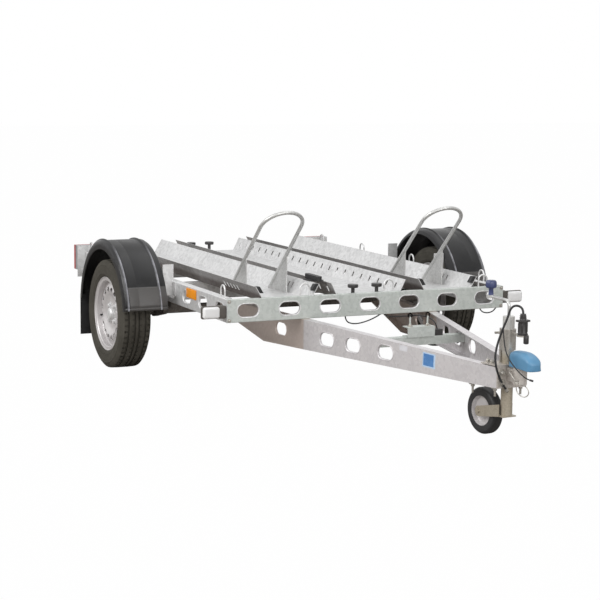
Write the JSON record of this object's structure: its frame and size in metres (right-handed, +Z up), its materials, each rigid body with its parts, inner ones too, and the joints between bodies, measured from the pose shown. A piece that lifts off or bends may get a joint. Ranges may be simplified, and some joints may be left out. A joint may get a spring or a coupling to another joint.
{
  "type": "motorcycle trailer",
  "caption": "Flat galvanised trailer with rails and front wheel hoops, stowed ramp, tapered drawbar with ball coupling, jockey wheel and mudguarded road wheels.",
  "frame": {"origin": "on the ground, under the middle of the whole trailer's length and width", "axes": "+X forward to the coupling, +Y to the trailer's left, +Z up"},
  "size_m": [3.555, 2, 0.842],
  "materials": {
    "galvanised": "hot-dip galvanised steel with fine spangle, pale matt grey",
    "knob_plastic": "dark navy moulded plastic, satin",
    "black_rubber": "black rubber, matt",
    "blue_plastic": "sky-blue moulded plastic, satin",
    "guard_plastic": "black-grey moulded plastic, fine grain",
    "clear_lens": "clear ribbed lamp lens",
    "amber_lens": "amber reflector",
    "red_lens": "red lamp lens",
    "grey_plastic": "mid-grey moulded plastic",
    "plate_white": "blank white plate",
    "tyre_rubber": "black tyre rubber",
    "rim_paint": "silver-grey paint",
    "hub_iron": "machined cast hub, dull grey"
  },
  "bodies": {
    "chassis": {"side_member_left": "galvanised", "side_member_right": "galvanised", "front_crossmember": "galvanised", "rear_crossmember": "galvanised", "bearers": "galvanised", "rail_left": "galvanised", "rail_right": "galvanised", "loading_ramp": "galvanised", "wheel_hoop_left": "galvanised", "wheel_hoop_right": "galvanised", "lashing_loops": "galvanised", "drawbar_beam_left": "galvanised", "drawbar_beam_right": "galvanised", "drawbar_tie": "galvanised", "tie_bracket": "galvanised", "drawbar_nose": "galvanised", "coupling_head": "galvanised", "axle_tube": "galvanised", "swing_arms": "galvanised", "mudguard_stays": "galvanised", "lamp_panel": "galvanised", "jockey_outer_tube": "galvanised", "jockey_clamp": "galvanised", "jockey_crank": "galvanised", "plug_holder": "galvanised", "cable_clip": "galvanised", "safety_wire": "galvanised", "ramp_knobs": "knob_plastic", "jockey_crank_knob": "knob_plastic", "rail_end_blocks": "black_rubber", "mud_flaps": "black_rubber", "marker_lamp_arms": "black_rubber", "ramp_latch": "black_rubber", "supply_cable": "black_rubber", "breakaway_strand": "black_rubber", "harness_cables": "black_rubber", "harness_connector": "black_rubber", "coupling_handle": "blue_plastic", "mudguard_left": "guard_plastic", "mudguard_right": "guard_plastic", "marker_lamp_lenses": "clear_lens", "side_reflectors": "amber_lens", "tail_lamp_bodies": "grey_plastic", "tail_lamp_lenses": "red_lens", "number_plate": "plate_white", "connector_plug": "guard_plastic"},
    "wheel_left": {"tyre_left": "tyre_rubber", "wheel_rim_left": "rim_paint", "wheel_hub_left": "hub_iron"},
    "wheel_right": {"tyre_right": "tyre_rubber", "wheel_rim_right": "rim_paint", "wheel_hub_right": "hub_iron"},
    "jockey_leg": {"jockey_leg": "galvanised"},
    "jockey_fork": {"jockey_fork": "galvanised"},
    "jockey_wheel": {"jockey_wheel_rim": "grey_plastic", "jockey_wheel_tyre": "black_rubber"}
  },
  "joints": [
    {"name": "wheel_left_spin", "type": "hinge", "parent": "chassis", "child": "wheel_left", "pos_m": [-0.5945, 0.909, 0.268], "axis": [0, 1, 0], "continuous": true},
    {"name": "wheel_right_spin", "type": "hinge", "parent": "chassis", "child": "wheel_right", "pos_m": [-0.5945, -0.909, 0.268], "axis": [0, 1, 0], "continuous": true},
    {"name": "jockey_slide", "type": "slide", "parent": "chassis", "child": "jockey_leg", "axis": [0, 0, 1], "range_m": [-0.15, 0]},
    {"name": "jockey_swivel", "type": "hinge", "parent": "jockey_leg", "child": "jockey_fork", "pos_m": [1.5665, 0, 0.1], "axis": [0, 0, 1], "continuous": true},
    {"name": "jockey_wheel_spin", "type": "hinge", "parent": "jockey_fork", "child": "jockey_wheel", "pos_m": [1.42627, -0.01474, 0.0975], "axis": [-0.1045, 0.9945, 0], "continuous": true}
  ]
}
